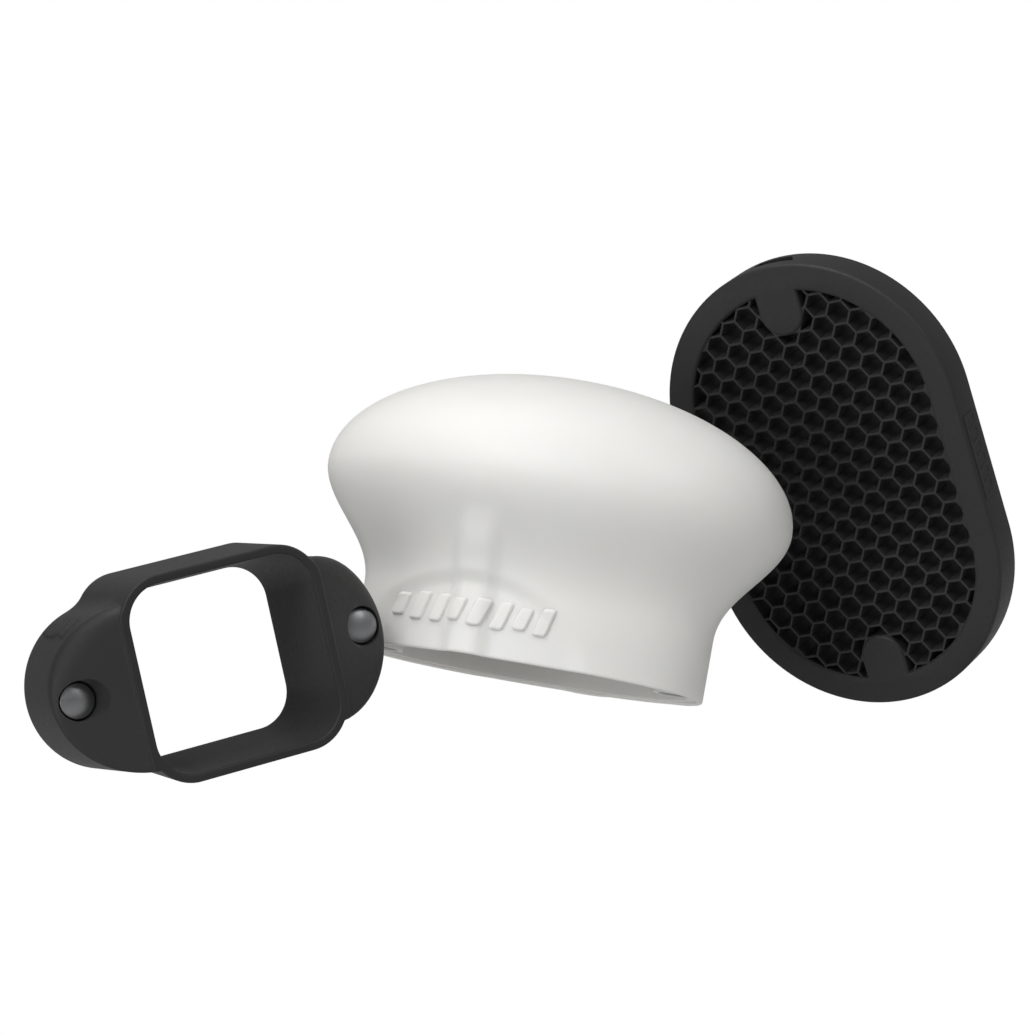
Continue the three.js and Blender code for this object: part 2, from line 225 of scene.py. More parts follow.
def lathe(name, profile, place, columns=64):
    """Solid of revolution about local Z. The profile is (radius, height) pairs from axis to axis."""
    vertices, faces = [], []
    for radius, height in profile[1:-1]:
        for i in range(columns):
            angle = TAU * i / columns
            vertices.append((radius * math.cos(angle), radius * math.sin(angle), height))
    rows = len(profile) - 2
    faces = wrapped_faces(rows, columns, False)
    for end, row in ((profile[0], 0), (profile[-1], rows - 1)):
        tip = len(vertices)
        vertices.append((0, 0, end[1]))
        for i in range(columns):
            faces.append((tip, row * columns + i, row * columns + (i + 1) % columns))
    return shade_smooth(new_object(name, vertices, faces, place), limit=40)


def plate(name, outlines, low, high, bevel, place, steps=4):
    """Flat plate drawn in local X and Y from its outline and its holes, with rounded edges."""
    curve = bpy.data.curves.new(name, "CURVE")
    curve.dimensions = "2D"
    curve.fill_mode = "BOTH"
    curve.extrude = (high - low) / 2 - bevel
    curve.bevel_depth = bevel
    curve.bevel_resolution = steps
    curve.offset = -bevel
    for outline in outlines:
        spline = curve.splines.new("POLY")
        spline.points.add(len(outline) - 1)
        for point, (x, y) in zip(spline.points, outline):
            point.co = (x, y, 0, 1)
        spline.use_cyclic_u = True
    holder = bpy.data.objects.new(name + "_curve", curve)
    bpy.context.scene.collection.objects.link(holder)
    bpy.context.view_layer.update()
    evaluated = holder.evaluated_get(bpy.context.evaluated_depsgraph_get())
    mesh = bpy.data.meshes.new_from_object(evaluated)
    bpy.data.objects.remove(holder)
    mesh.transform(place @ Matrix.Translation((0, 0, (low + high) / 2)))
    mesh.name = name
    obj = bpy.data.objects.new(name, mesh)
    bpy.context.scene.collection.objects.link(obj)
    face_outwards(obj)
    return shade_smooth(obj, limit=30)


def slanted_bars(count, spacing, half_height, half_width):
    """Plain row of rounded slanted bars: the middle, half height and half width of each."""
    first = -(count - 1) / 2
    bars = []
    for i in range(count):
        share = 1 if i % 3 else SHORT_BAR
        bars.append(((first + i) * spacing, half_height * share, half_width))
    return bars


def bar_distance(along, up, bar):
    """Distance outside a rounded slanted bar, negative within it."""
    middle, half_height, half_width = bar
    side = np.abs(along - middle - BAR_SLANT * up) - half_width + BAR_CORNER
    end = np.abs(up) - half_height + BAR_CORNER
    outside = np.hypot(np.maximum(side, 0), np.maximum(end, 0))
    return outside + np.minimum(np.maximum(side, end), 0) - BAR_CORNER


def relief(name, surface, half_size, bars, rise, step, place):
    """Raised bars on a curved surface. Round the bars the patch dips just under that surface."""
    along = np.arange(-half_size[0], half_size[0] + step, step)
    up = np.arange(-half_size[1], half_size[1] + step, step)
    along, up = np.meshgrid(along, up)
    distance = np.min([bar_distance(along, up, bar) for bar in bars], axis=0)
    lift = eased(-RELIEF_SINK, rise, 0.5 - distance / RELIEF_EDGE)
    points = surface(along, up)
    across = np.gradient(points, axis=1)
    upwards = np.gradient(points, axis=0)
    normal = np.cross(across, upwards)
    normal /= np.linalg.norm(normal, axis=-1, keepdims=True)
    points = points + normal * lift[..., None]
    rows, columns = along.shape
    faces = []
    for row in range(rows - 1):
        for i in range(columns - 1):
            a = row * columns + i
            faces.append((a, a + 1, a + columns + 1, a + columns))
    return shade_smooth(new_object(name, points.reshape(-1, 3), faces, place), limit=80)


# ---------------------------------------------------------------- materials

def shader(name):
    material = bpy.data.materials.new(name)
    material.use_nodes = True
    nodes = material.node_tree.nodes
    return material, nodes, material.node_tree.links, nodes["Principled BSDF"]


def add_noise(nodes, links, scale, detail, roughness=0.5):
    place = nodes.new("ShaderNodeTexCoord")
    noise = nodes.new("ShaderNodeTexNoise")
    noise.inputs["Scale"].default_value = scale
    noise.inputs["Detail"].default_value = detail
    noise.inputs["Roughness"].default_value = roughness
    links.new(place.outputs["Object"], noise.inputs["Vector"])
    return noise.outputs["Fac"]


def remap(nodes, links, value, low, high, start=0.3, end=0.7):
    """Stretches a noise's middle range, start to end, over low to high."""
    ramp = nodes.new("ShaderNodeMapRange")
    ramp.inputs["From Min"].default_value = start
    ramp.inputs["From Max"].default_value = end
    ramp.inputs["To Min"].default_value = low
    ramp.inputs["To Max"].default_value = high
    links.new(value, ramp.inputs["Value"])
    return ramp.outputs["Result"]


def add_bump(nodes, links, bsdf, layers):
    """Bump from several (height, distance in metres) layers, one on top of the other."""
    before = None
    for height, distance in layers:
        bump = nodes.new("ShaderNodeBump")
        bump.inputs["Strength"].default_value = 1.0
        bump.inputs["Distance"].default_value = distance
        links.new(height, bump.inputs["Height"])
        if before is not None:
            links.new(before, bump.inputs["Normal"])
        before = bump.outputs["Normal"]
    links.new(before, bsdf.inputs["Normal"])


def tinted(nodes, links, broad, dark, light):
    """Colour that drifts between two shades with a broad noise."""
    mix = nodes.new("ShaderNodeMix")
    mix.data_type = "RGBA"
    mix.inputs["A"].default_value = (*dark, 1)
    mix.inputs["B"].default_value = (*light, 1)
    links.new(remap(nodes, links, broad, 0, 1), mix.inputs["Factor"])
    return mix.outputs["Result"]


def black_silicone():
    material, nodes, links, bsdf = shader("black_silicone")
    broad = add_noise(nodes, links, scale=22, detail=3)
    fine = add_noise(nodes, links, scale=900, detail=4, roughness=0.6)
    grain = add_noise(nodes, links, scale=4200, detail=2, roughness=0.7)
    colour = tinted(nodes, links, broad, dark=(0.0105, 0.0105, 0.011), light=(0.0155, 0.0155, 0.016))
    links.new(colour, bsdf.inputs["Base Color"])
    links.new(remap(nodes, links, fine, low=0.5, high=0.62), bsdf.inputs["Roughness"])
    bsdf.inputs["Specular IOR Level"].default_value = 0.42
    bsdf.inputs["Sheen Weight"].default_value = 0.06
    bsdf.inputs["Sheen Roughness"].default_value = 0.5
    add_bump(nodes, links, bsdf, [(fine, 0.00002), (grain, 0.000012)])
    return material


def white_silicone():
    material, nodes, links, bsdf = shader("white_silicone")
    broad = add_noise(nodes, links, scale=18, detail=3)
    fine = add_noise(nodes, links, scale=700, detail=4, roughness=0.6)
    colour = tinted(nodes, links, broad, dark=(0.8, 0.785, 0.75), light=(0.84, 0.83, 0.8))
    links.new(colour, bsdf.inputs["Base Color"])
    links.new(remap(nodes, links, fine, low=0.4, high=0.52), bsdf.inputs["Roughness"])
    bsdf.inputs["Subsurface Weight"].default_value = 0.35
    bsdf.inputs["Subsurface Radius"].default_value = (1.0, 0.9, 0.75)
    bsdf.inputs["Subsurface Scale"].default_value = 0.004
    bsdf.inputs["Specular IOR Level"].default_value = 0.4
    add_bump(nodes, links, bsdf, [(fine, 0.000012)])
    return material


def black_plastic():
    material, nodes, links, bsdf = shader("black_plastic")
    fine = add_noise(nodes, links, scale=1500, detail=3, roughness=0.6)
    broad = add_noise(nodes, links, scale=40, detail=2)
    colour = tinted(nodes, links, broad, dark=(0.008, 0.008, 0.009), light=(0.014, 0.014, 0.015))
    links.new(colour, bsdf.inputs["Base Color"])
    links.new(remap(nodes, links, fine, low=0.42, high=0.55), bsdf.inputs["Roughness"])
    add_bump(nodes, links, bsdf, [(fine, 0.00002)])
    return material


def nickel():
    material, nodes, links, bsdf = shader("nickel")
    fine = add_noise(nodes, links, scale=1200, detail=5, roughness=0.65)
    broad = add_noise(nodes, links, scale=90, detail=2)
    colour = tinted(nodes, links, broad, dark=(0.24, 0.243, 0.25), light=(0.31, 0.313, 0.32))
    links.new(colour, bsdf.inputs["Base Color"])
    bsdf.inputs["Metallic"].default_value = 1.0
    links.new(remap(nodes, links, fine, low=0.36, high=0.48), bsdf.inputs["Roughness"])
    add_bump(nodes, links, bsdf, [(fine, 0.00001)])
    return material


def paint(obj, material):
    obj.data.materials.clear()
    obj.data.materials.append(material)


# ---------------------------------------------------------------- grip

GRIP_COLUMNS = 480
WALL = 2.2
CORNER = 9.5
EAR_CENTRE = 24.4
EAR_RADIUS = 21.0
RAMP_START = 0.8
RAMP_END = 10.4
RAMP_FILLET = (1.2, 6.2)       # fillet between ramp and ear, on the underside and on top
RAMP_FILLET_TURN = (-0.15, 0.35)  # sines of the turns between which it grows
EAR_FILLET = (0.4, 3.2)        # fillet between ear and sleeve, at the rear rim and further on
EAR_FILLET_LENGTH = 9.0
SOCKET_EXTRA = 1.9             # how much wider than high the socket is at its rear rim
TAPER_X = 2.5                  # how much narrower and lower the socket is at the front
TAPER_Z = 5.8
FRONT_SPREAD = 0.9             # how much higher the sleeve's top is at the front
FRONT_DROP = 1.6               # how much further in its underside is there
TOP_TURN = 0.2                 # sine of the turn, up and down, in which underside becomes top
OVERRUN = 3.0                  # how far a cutter runs on past what it cuts
POCKET_RADIUS = 5.0
POCKET_MOUTH = ((2.2, -OVERRUN), (1.4, 3.5), (0.45, 6.4), (0.0, 8.2))  # extra radius, depth
LIP = 0.55                     # radius of the grip's rounded edges
CLOSE_DEPTH = 11.5             # the rows behind the rear rim lie close together this far
CLOSE_ROWS = 52
WIDE_ROWS = 16
SOCKET_ROWS = 24
DISC_EDGE = 0.45               # radius of the rounded edges of caps and magnets
CAP_CROWN = 1.0                # how far a cap's middle stands out of its edge
CROWN_START = 0.12             # smallest row of a crown, as a share of its radius
CROWN_ROWS = 10
EAR_RELIEF_TURN = 154.3        # degrees round the grip's middle from its right
EAR_RELIEF_Y = 4.0
EAR_RELIEF_CURL = 0.0214       # turn, in radians, for each millimetre up the relief
EAR_RELIEF_HALF = (8.6, 4.6)
EAR_RELIEF_RISE = 0.8
EAR_RELIEF_STEP = 0.15
EAR_BARS = slanted_bars(5, 3.3, 2.9, 1.0)


def grip_size():
    """Depth, and the socket's width and height at its rear rim."""
    low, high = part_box("grip_left")
    height = 2 * (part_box("grip_band_top")[1].z / MM - WALL)
    return (high.y - low.y) / MM, height + SOCKET_EXTRA, height


def square_radius(cosine, sine, half_width, half_height, corner):
    """Distance from the middle of a rounded rectangle to its edge, in each direction."""
    c, s = np.abs(cosine), np.abs(sine)
    flat = np.minimum(half_width / np.maximum(c, 1e-9), half_height / np.maximum(s, 1e-9))
    cx, cz = half_width - corner, half_height - corner
    along = c * cx + s * cz
    inside = np.maximum(along * along - (cx * cx + cz * cz - corner * corner), 0)
    in_corner = (flat * c > cx) & (flat * s > cz)
    return np.where(in_corner, along + np.sqrt(inside), flat)


def ear_radius(cosine):
    """Distance from the middle to the far side of the round ear, in each direction that meets it."""
    along = EAR_CENTRE * np.abs(cosine)
    inside = along * along - (EAR_CENTRE ** 2 - EAR_RADIUS ** 2)
    return np.where(inside > 0, along + np.sqrt(np.maximum(inside, 0)), 0.0)


def socket_radius(cosine, sine, behind, size):
    """The socket's wall, at a distance behind the rear rim."""
    depth, width, height = size
    share = behind / depth
    half_width = width / 2 - TAPER_X / 2 * share
    half_height = height / 2 - TAPER_Z / 2 * share
    return square_radius(cosine, sine, half_width, half_height, CORNER)


def outer_radius(cosine, sine, behind, size):
    """The grip's outside: the sleeve, and the ears that the ramps cut back near the rear rim."""
    root = size[1] / 2 + WALL
    spread = eased(-FRONT_DROP, FRONT_SPREAD, (sine + TOP_TURN) / (2 * TOP_TURN)) * behind / size[0]
    sleeve = square_radius(cosine, sine, root + spread, size[2] / 2 + WALL + spread, CORNER + WALL)
    slope = (EAR_CENTRE + EAR_RADIUS - root) / (RAMP_END - RAMP_START)
    ramp_x = root + slope * np.maximum(behind - RAMP_START, 0)
    ramp = ramp_x / np.maximum(np.abs(cosine), 1e-3)
    start, end = RAMP_FILLET_TURN
    ear = smooth_min(ear_radius(cosine), ramp, eased(*RAMP_FILLET, (sine - start) / (end - start)))
    return smooth_max(sleeve, ear, eased(*EAR_FILLET, behind / EAR_FILLET_LENGTH))


def grip_sleeve(place):
    """Sleeve and both ears as one closed skin, with the two pockets cut out."""
    size = grip_size()
    depth = size[0]
    angles = (np.arange(GRIP_COLUMNS) + 0.5) * TAU / GRIP_COLUMNS
    cosine, sine = np.cos(angles), np.sin(angles)
    rows = []

    def add(radius, behind):
        y = np.full(GRIP_COLUMNS, behind - depth / 2)
        rows.append(np.column_stack([radius * cosine, y, radius * sine]))

    def outside(behind):
        return outer_radius(cosine, sine, behind, size)

    def inside(behind):
        return socket_radius(cosine, sine, behind, size)

    for c, s in rounded_edge(90, 0):
        add(outside(LIP) - LIP + LIP * c, LIP - LIP * s)
    close = np.linspace(LIP, CLOSE_DEPTH, CLOSE_ROWS)[1:]
    wide = np.linspace(CLOSE_DEPTH, depth - LIP, WIDE_ROWS)[1:-1]
    for behind in np.concatenate([close, wide]):
        add(outside(behind), behind)
    for c, s in rounded_edge(0, 90):
        add(outside(depth - LIP) - LIP + LIP * c, depth - LIP + LIP * s)
    for c, s in rounded_edge(90, 0):
        add(inside(depth - LIP) + LIP - LIP * c, depth - LIP + LIP * s)
    for behind in np.linspace(depth - LIP, LIP, SOCKET_ROWS)[1:-1]:
        add(inside(behind), behind)
    for c, s in rounded_edge(0, 90):
        add(inside(LIP) + LIP - LIP * c, LIP - LIP * s)
    sleeve = new_object("grip_sleeve", np.vstack(rows), wrapped_faces(len(rows), GRIP_COLUMNS, True), place)
    for word in ("left", "right"):
        x = centre_of(f"grip_cap_{word}").x
        mouth = [(POCKET_RADIUS + extra, behind) for extra, behind in POCKET_MOUTH]
        end = depth + OVERRUN
        pocket = [(0, -OVERRUN)] + mouth + [(POCKET_RADIUS, end), (0, end)]
        bore = lathe("pocket", pocket, place @ along_y(x, -depth / 2, 0))
        cut(sleeve, bore)
    return shade_smooth(sleeve, limit=38)


def along_y(x, y, z):
    """Matrix that lays a lathe's axis along Y, starting at a point."""
    return Matrix.Translation((x, y, z)) @ Matrix.Rotation(-math.pi / 2, 4, "X")


def disc_profile(radius, low, high, crown):
    """Disc with rounded edges and, where crown isn't 0, a domed face at its low end."""
    profile = [(0, low)]
    reach = radius - DISC_EDGE
    if crown:
        ball = (radius * radius + crown * crown) / (2 * crown)
        for r in reach * np.linspace(CROWN_START, 1, CROWN_ROWS):
            profile.append((r, low + ball - math.sqrt(ball * ball - r * r)))
    base, top = profile[-1][1] + DISC_EDGE, high - DISC_EDGE
    profile += [(reach + DISC_EDGE * s, base - DISC_EDGE * c) for c, s in rounded_edge(0, 90)]
    profile += [(reach + DISC_EDGE * c, top + DISC_EDGE * s) for c, s in rounded_edge(0, 90)]
    return profile + [(0, high)]


def ear_wall(along, up):
    """Point of the left ear's round wall, above its widest place."""
    turn = math.radians(EAR_RELIEF_TURN) - up * EAR_RELIEF_CURL
    size = grip_size()
    y = EAR_RELIEF_Y - along
    radius = outer_radius(np.cos(turn), np.sin(turn), y + size[0] / 2, size)
    return np.stack([radius * np.cos(turn), y, radius * np.sin(turn)], axis=-1)


def make_grip(black, metal):
    place = Matrix.Scale(MM, 4)
    sleeve = grip_sleeve(place)
    badge = relief(
        "grip_relief", ear_wall, EAR_RELIEF_HALF, EAR_BARS, EAR_RELIEF_RISE, EAR_RELIEF_STEP, place
    )
    paint(badge, black)
    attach(badge, "grip_left_half")
    paint(sleeve, black)
    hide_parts("grip_left", "grip_right", "grip_band_top", "grip_band_bottom")
    low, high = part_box("grip_band_top")
    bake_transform(sleeve)
    for word, body in (("left", "grip_left_half"), ("right", "grip_right_half")):
        for node, crown in (("grip_cap_", CAP_CROWN), ("grip_magnet_", 0)):
            low, high = (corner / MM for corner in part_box(node + word))
            profile = disc_profile((high.x - low.x) / 2, 0, high.y - low.y, crown)
            piece = lathe(node + word + "_fine", profile, place @ along_y((low.x + high.x) / 2, low.y, 0))
            paint(piece, metal)
            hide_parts(node + word)
            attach(piece, body)


# ---------------------------------------------------------------- dome

DOME_COLUMNS = 420
DOME_WALL = 1.6
DOME_HEIGHT = 78.6
BULGE_HEIGHT = 47.3
BULGE_HALF = (62.5, 44.5)
RIM_HALF = (46.9, 29.8)
RIM_POWER = 2.1
WAIST = 16.1
FLARE_POWER = 2.3
RIM_LIP = 0.6
OUTER_ROWS = (92, 44)          # rows of the outside up to the widest place, and on to the crown
INNER_ROWS = (50, 26)
DOME_MAGNET_MIDDLE = 3.1       # height of the magnets' middles above the rim
MARKS_X = -12.0                # middle of the rib, panel and relief on the neck's long side
LONG_SIDE = (12.0, 20.0)       # distances from the long axis between which those fade in
RIB_RISE = 2.6
RIB_HALF_WIDTH = 5.2
RIB_TOP = 38.0
RIB_FADE = 12.0
PANEL_HALF_WIDTH = 32.5
PANEL_HEIGHT = 22.0
PANEL_DEPTH = 1.4
PANEL_SLOPE = 0.2              # width of the panel's sloping border, as a share of its size
DOME_RELIEF_HEIGHT = 11.0
DOME_RELIEF_HALF = (24.5, 5.2)
DOME_RELIEF_RISE = 1.0
DOME_RELIEF_STEP = 0.2
DOME_BARS = slanted_bars(8, 5.7, 3.6, 1.7)


def dome_section(height):
    """Half length, half width and superellipse power of the outside below the widest place."""
    flare = np.sin(math.pi / 2 * max(0.0, height - WAIST) / (BULGE_HEIGHT - WAIST)) ** FLARE_POWER
    power = RIM_POWER + (2 - RIM_POWER) * float(ease(height / BULGE_HEIGHT))
    return [rim + (bulge - rim) * flare for rim, bulge in zip(RIM_HALF, BULGE_HALF)] + [power]


def superellipse(half_length, half_width, power):
    angles = np.arange(DOME_COLUMNS) * TAU / DOME_COLUMNS
    c, s = np.cos(angles), np.sin(angles)
    x = half_length * np.sign(c) * np.abs(c) ** (2 / power)
    y = half_width * np.sign(s) * np.abs(s) ** (2 / power)
    return x, y


def dome_row(height, inset):
    """Points round the dome at a height, inset from its outside."""
    if height <= BULGE_HEIGHT:
        half_length, half_width, power = dome_section(height)
        return superellipse(half_length - inset, half_width - inset, power)
    share = (height - BULGE_HEIGHT) / (DOME_HEIGHT - BULGE_HEIGHT - inset)
    shrink = math.sqrt(max(0.0, 1 - share * share))
    return superellipse((BULGE_HALF[0] - inset) * shrink, (BULGE_HALF[1] - inset) * shrink, 2)


def side_marks(x, y, height):
    """Outward swelling of the neck's two long sides: a short upright rib over a sunk arched panel."""
    facing = ease((np.abs(y) - LONG_SIDE[0]) / (LONG_SIDE[1] - LONG_SIDE[0]))
    off = x + MARKS_X * np.sign(y)
    rib = RIB_RISE * np.exp(-(np.abs(off) / RIB_HALF_WIDTH) ** 4) * ease((RIB_TOP - height) / RIB_FADE)
    arch = np.hypot(off / PANEL_HALF_WIDTH, height / PANEL_HEIGHT)
    return facing * (rib - PANEL_DEPTH * ease((1 - arch) / PANEL_SLOPE))


def swell_out(x, y, height):
    """Moves points of the neck outwards by its rib and its panel."""
    swell = side_marks(x, y, height)
    steep = (RIM_HALF[0] / RIM_HALF[1]) ** 2
    length = np.hypot(x, y * steep)
    return x + swell * x / length, y + swell * y * steep / length


def wall_rows(inset, counts):
    """(height, inset) of the rows of one side of the wall, from the rounded rim to the crown."""
    side = 1 if inset else -1
    lip = inset - side * RIM_LIP
    rise = DOME_HEIGHT - BULGE_HEIGHT - inset
    rows = [(RIM_LIP - RIM_LIP * s, lip + side * RIM_LIP * c) for c, s in rounded_edge(90, 0)]
    rows += [(height, inset) for height in np.linspace(RIM_LIP, BULGE_HEIGHT, counts[0])[1:]]
    crown = np.sin(np.linspace(0, math.pi / 2, counts[1])[1:-1])
    return rows + [(BULGE_HEIGHT + rise * s, inset) for s in crown]


def dome_ring(height, inset):
    x, y = dome_row(height, inset)
    if height < BULGE_HEIGHT:
        x, y = swell_out(x, y, height)
    return np.column_stack([x, y, np.full(len(x), height)])


def dome_shell(place):
    """One closed skin: down the outside from the crown, round the rim and up the inside."""
    rows = wall_rows(0, OUTER_ROWS)[::-1] + wall_rows(DOME_WALL, INNER_ROWS)
    tips = np.array([[0, 0, DOME_HEIGHT], [0, 0, DOME_HEIGHT - DOME_WALL]])
    points = np.vstack([dome_ring(*row) for row in rows] + [tips])
    faces = wrapped_faces(len(rows), DOME_COLUMNS, False)
    last = (len(rows) - 1) * DOME_COLUMNS
    outer_tip, inner_tip = len(points) - 2, len(points) - 1
    for i in range(DOME_COLUMNS):
        j = (i + 1) % DOME_COLUMNS
        faces.append((outer_tip, i, j))
        faces.append((inner_tip, last + j, last + i))
    return shade_smooth(new_object("dome_skin", points, faces, place), limit=60)


def dome_side(along, up):
    """Point of the neck's long side, for arrays of length along it and height above the relief's middle."""
    x = MARKS_X + along
    height = DOME_RELIEF_HEIGHT + up
    sections = np.array([dome_section(h) for h in height.ravel()]).reshape(*height.shape, 3)
    half_length, half_width, power = sections[..., 0], sections[..., 1], sections[..., 2]
    y = -half_width * (1 - np.abs(x / half_length) ** power) ** (1 / power)
    x, y = swell_out(x, y, height)
    return np.stack([x, y, height], axis=-1)


def make_dome(white, plastic, metal):
    place = dome_frame(DOME_MAGNET_MIDDLE)
    shell = dome_shell(place)
    badge = relief(
        "dome_relief", dome_side, DOME_RELIEF_HALF, DOME_BARS, DOME_RELIEF_RISE, DOME_RELIEF_STEP, place
    )
    paint(badge, white)
    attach(badge, "dome")
    paint(shell, white)
    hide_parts("dome_shell")
    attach(shell, "dome")
    for node, material, slot in (
        ("dome_insert", white, "white_silicone"),
        ("dome_magnet_left", metal, "nickel"),
        ("dome_magnet_right", metal, "nickel"),
        ("dome_cap_left", plastic, "black_plastic"),
        ("dome_cap_right", plastic, "black_plastic"),
    ):
        paint(frame["nodes"][node], material)


# ---------------------------------------------------------------- grid

GRID_THICKNESS = 11.2
GRID_HALF_WIDTH = 42.0
GRID_HALF_LENGTH = 62.2
GRID_RIM = 7.3
BOSS_RADIUS = 6.3
CELL_PITCH = 6.17
CELL_WALL = 0.6
CELL_OVERRUN = 0.15            # how far the cells run on under the rim's inner wall
CELL_ROWS = 8                  # rows and columns of cells on either side of the middle one
CELL_COLUMNS = 11
CLIP_TURNS = 25                # directions in which a cell is trimmed to the rounded window
SLIVER_AREA = 1.0              # cells trimmed to less than this, in square millimetres, stay solid
BACK_CELL = 0.7                # size of a cell at the back, as a share of its size at the front
DRAFT_MARGIN = 0.1             # points nearer than this to the rim or a boss don't move
CORE_RECESS = 0.6
CORE_HIDDEN = 0.5              # how far the honeycomb's border runs into the rim
RIM_BEVEL = 0.9
CORE_BEVEL = 0.06
GRID_MAGNET_MIDDLE = 8.65      # depth of the magnets' middles behind the front face
SLOT = (12.0, 4.4, 3.0)        # width, height and depth of the slot in the upper end
SLOT_MIDDLE = 6.2
GRID_RELIEF_DEPTH = 4.8        # middle of the side wall's relief, behind the front face
GRID_RELIEF_Z = 1.0
GRID_RELIEF_HALF = (11.5, 3.4)
GRID_RELIEF_RISE = 0.7
GRID_RELIEF_STEP = 0.2
GRID_BARS = slanted_bars(6, 3.6, 2.4, 1.1)


def arc(radius, middle, start, end, steps):
    """Points of an arc whose centre lies on the long axis, between two angles."""
    angles = np.linspace(start, end, steps)
    return [(radius * math.cos(angle), middle + radius * math.sin(angle)) for angle in angles]


def stadium(half_width, half_length, steps=72):
    """Outline with straight sides and round ends."""
    straight = half_length - half_width
    upper = arc(half_width, straight, 0, math.pi, steps)
    return upper + arc(half_width, -straight, math.pi, TAU, steps)


def boss_centre():
    """Distance of each boss from the grid's middle."""
    upper, lower = centre_of("grid_magnet_upper"), centre_of("grid_magnet_lower")
    return (upper - lower).length / 2


def window(inset, boss_grow, steps=60):
    """Outline of the opening in the rim, which runs round the two bosses."""
    half_width = GRID_HALF_WIDTH - inset
    straight = GRID_HALF_LENGTH - GRID_HALF_WIDTH
    reach, centre = BOSS_RADIUS + boss_grow, boss_centre()
    quarter = math.pi / 2
    edge = math.asin(reach / half_width)
    points = []
    for sign, turn in ((1, 0), (-1, math.pi)):
        points += arc(half_width, sign * straight, turn, turn + quarter - edge, steps)
        points += arc(reach, sign * centre, turn, turn - math.pi, steps // 2)
        points += arc(half_width, sign * straight, turn + quarter + edge, turn + math.pi, steps)
    return points


def clip(polygon, normal, reach):
    """Keeps the part of a convex polygon where its dot product with normal stays under reach."""
    kept = []
    for i, (x, y) in enumerate(polygon):
        u, v = polygon[(i + 1) % len(polygon)]
        a = x * normal[0] + y * normal[1] - reach
        b = u * normal[0] + v * normal[1] - reach
        if a <= 0:
            kept.append((x, y))
        if (a < 0 < b) or (b < 0 < a):
            t = a / (a - b)
            kept.append((x + t * (u - x), y + t * (v - y)))
    return kept


def polygon_area(polygon):
    pairs = zip(polygon, polygon[1:] + polygon[:1])
    return abs(sum(x * v - u * y for (x, y), (u, v) in pairs)) / 2


def trimmed(cell, centre):
    """The part of a cell within the window and clear of the nearer boss."""
    half_width = GRID_HALF_WIDTH - GRID_RIM + CELL_OVERRUN
    straight = GRID_HALF_LENGTH - GRID_HALF_WIDTH
    reach = BOSS_RADIUS - CELL_OVERRUN
    x, y = centre
    side, end = math.copysign(1, x), math.copysign(1, y)
    for angle in np.linspace(0, math.pi, CLIP_TURNS):
        normal = (math.cos(angle), end * math.sin(angle))
        cell = clip(cell, normal, half_width + abs(normal[1]) * straight) if cell else cell
    hub = Vector((0, end * boss_centre()))
    if abs(y) > abs(hub.y):
        return clip(cell, (-side, 0), -reach) if cell else cell
    away = Vector(centre) - hub
    if cell and away.length < reach + CELL_PITCH:
        normal = -away.normalized()
        cell = clip(cell, normal, normal.dot(hub) - reach)
    return cell


def cells():
    """Hexagonal cells of the honeycomb, trimmed at its edges."""
    radius = (CELL_PITCH - CELL_WALL) / math.sqrt(3)
    found = []
    corners = [(radius * math.cos(k * TAU / 6), radius * math.sin(k * TAU / 6)) for k in range(6)]
    for row in range(-CELL_ROWS, CELL_ROWS + 1):
        for i in range(-CELL_COLUMNS, CELL_COLUMNS + 1):
            x = row * CELL_PITCH * math.sqrt(3) / 2
            y = (i + (row % 2) / 2) * CELL_PITCH
            cell = trimmed([(x + u, y + v) for u, v in corners], (x, y))
            if len(cell) >= 3 and polygon_area(cell) > SLIVER_AREA:
                found.append(cell)
    return found


def draft_cells(core, place):
    """Draws each point of the back half towards the middle of its nearest cell."""
    points = np.array([place.inverted() @ vertex.co for vertex in core.data.vertices])
    x, y = points[:, 0], points[:, 1]
    row_step = CELL_PITCH * math.sqrt(3) / 2
    best = np.full(len(x), np.inf)
    centre = np.zeros((len(x), 2))
    for step in (0, 1):
        row = np.floor(x / row_step) + step
        shift = (row % 2) / 2
        column = np.round(y / CELL_PITCH - shift) + shift
        near = np.column_stack([row * row_step, column * CELL_PITCH])
        distance = np.hypot(x - near[:, 0], y - near[:, 1])
        closer = distance < best
        best = np.where(closer, distance, best)
        centre[closer] = near[closer]
    straight = GRID_HALF_LENGTH - GRID_HALF_WIDTH
    from_spine = np.hypot(x, np.maximum(np.abs(y) - straight, 0))
    from_boss = np.hypot(x, np.abs(y) - boss_centre())
    movable = from_spine < GRID_HALF_WIDTH - GRID_RIM - DRAFT_MARGIN
    movable &= from_boss > BOSS_RADIUS + DRAFT_MARGIN
    movable &= points[:, 2] < -GRID_THICKNESS / 2
    pull = (1 - BACK_CELL) * movable[:, None]
    points[:, :2] += (centre - points[:, :2]) * pull
    for vertex, point in zip(core.data.vertices, points):
        vertex.co = place @ Vector(point)


def cut_slot(rim, place):
    """Short slot in the upper end wall, with one slanted end."""
    wide, high, deep = SLOT
    outline = (
        (-wide / 2, -high / 2),
        (wide / 2, -high / 2),
        (wide / 2 - high / 2, high / 2),
        (-wide / 2, high / 2),
    )
    ends = (GRID_HALF_LENGTH - deep, GRID_HALF_LENGTH + deep)
    corners = [(x, SLOT_MIDDLE + y, z) for z in ends for x, y in outline]
    faces = [(0, 1, 2, 3), (4, 5, 6, 7)] + [(i, (i + 1) % 4, 4 + (i + 1) % 4, 4 + i) for i in range(4)]
    cut(rim, new_object("slot", corners, faces, place))


def side_wall(along, up):
    """Point of the grid's straight side wall."""
    x = np.full_like(along, GRID_HALF_WIDTH)
    return np.stack([x, GRID_RELIEF_DEPTH + up, GRID_RELIEF_Z + along], axis=-1)


